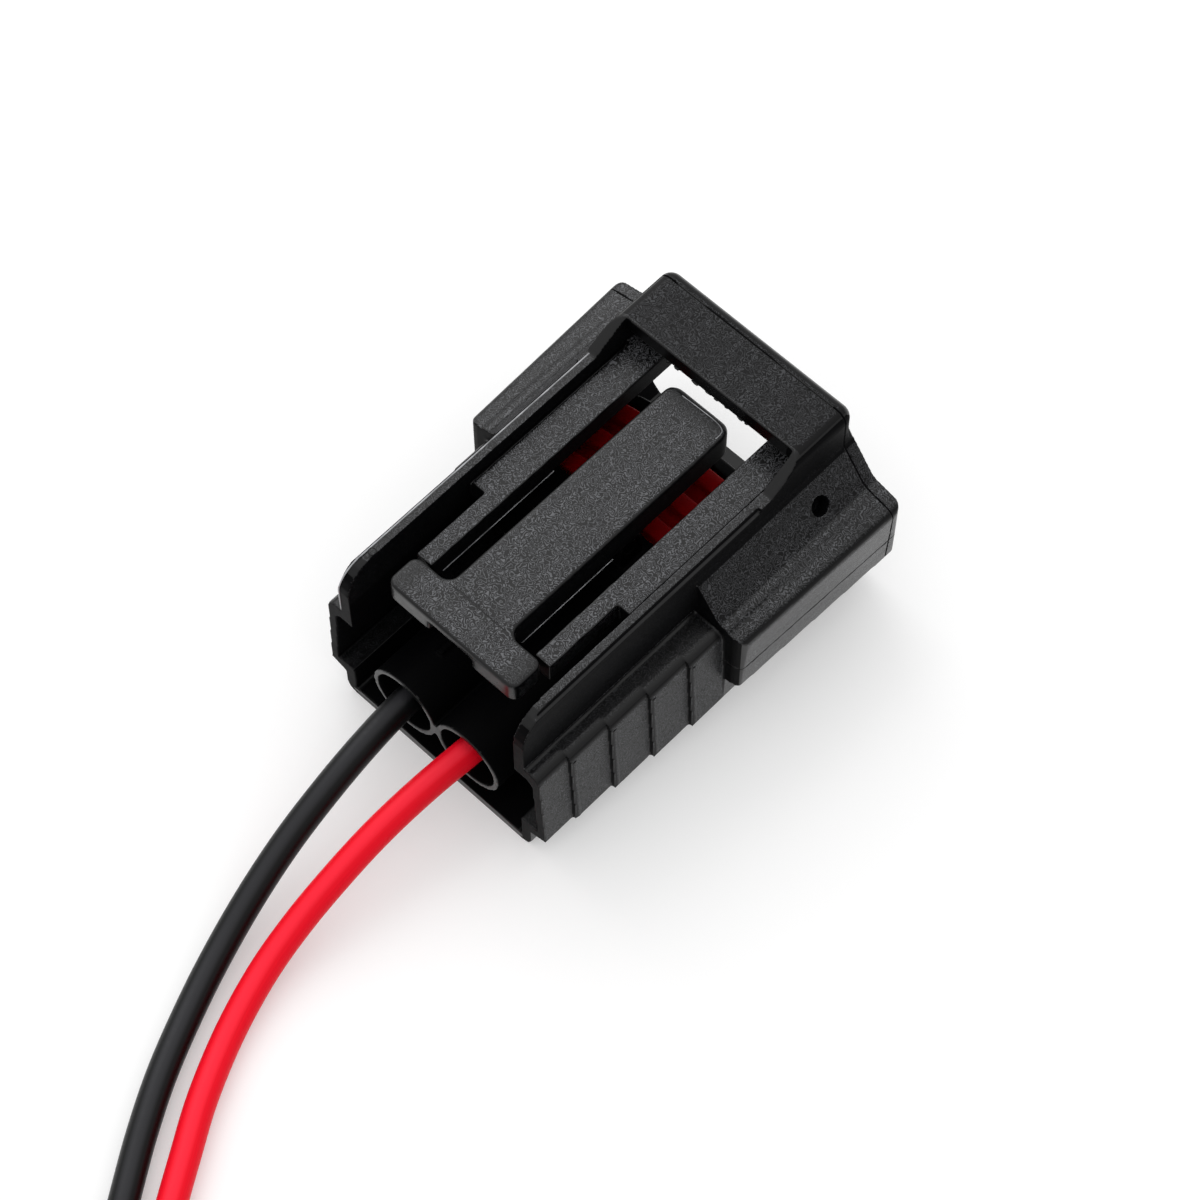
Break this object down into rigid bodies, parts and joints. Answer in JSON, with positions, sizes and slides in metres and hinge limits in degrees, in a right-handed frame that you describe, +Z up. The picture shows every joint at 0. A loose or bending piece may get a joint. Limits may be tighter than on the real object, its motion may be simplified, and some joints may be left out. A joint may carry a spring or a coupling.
{
  "type": "fuel injector connector pigtail",
  "caption": "Sealed two-way wire connector with a sprung T-shaped latch lever, a ring seal and red and black wire leads with bare ends.",
  "frame": {"origin": "on the surface it lies on, under the middle of the housing", "axes": "+Y is the mating direction, out of the hood's mouth; +X is to the right seen from the cable end, the red wire's side; +Z is up, from the keel to the latch lever"},
  "size_m": [0.0373, 0.1055, 0.0188],
  "materials": {
    "housing_plastic": "moulded, finely textured",
    "lever_plastic": "moulded, finely textured",
    "retainer_plastic": "moulded, smooth",
    "seal_silicone": "moulded, satin",
    "wire_seal_silicone": "moulded, satin",
    "black_insulation": "extruded, satin",
    "red_insulation": "extruded, satin",
    "tinned_brass": "stamped and tinned",
    "copper_strand": "drawn, bare"
  },
  "bodies": {
    "connector": {"housing": "housing_plastic", "ring_seal": "seal_silicone", "front_retainer": "retainer_plastic", "left_terminal": "tinned_brass", "right_terminal": "tinned_brass", "left_wire_seal": "wire_seal_silicone", "right_wire_seal": "wire_seal_silicone", "black_wire": "black_insulation", "red_wire": "red_insulation", "black_conductor": "copper_strand", "red_conductor": "copper_strand"},
    "latch": {"latch_lever": "lever_plastic"}
  },
  "joints": [
    {"name": "latch_press", "type": "hinge", "parent": "connector", "child": "latch", "pos_m": [0, 0.0008, 0.012], "axis": [1, 0, 0], "range_deg": [0, 6], "stiffness_Nm_per_rad": 0.05}
  ]
}
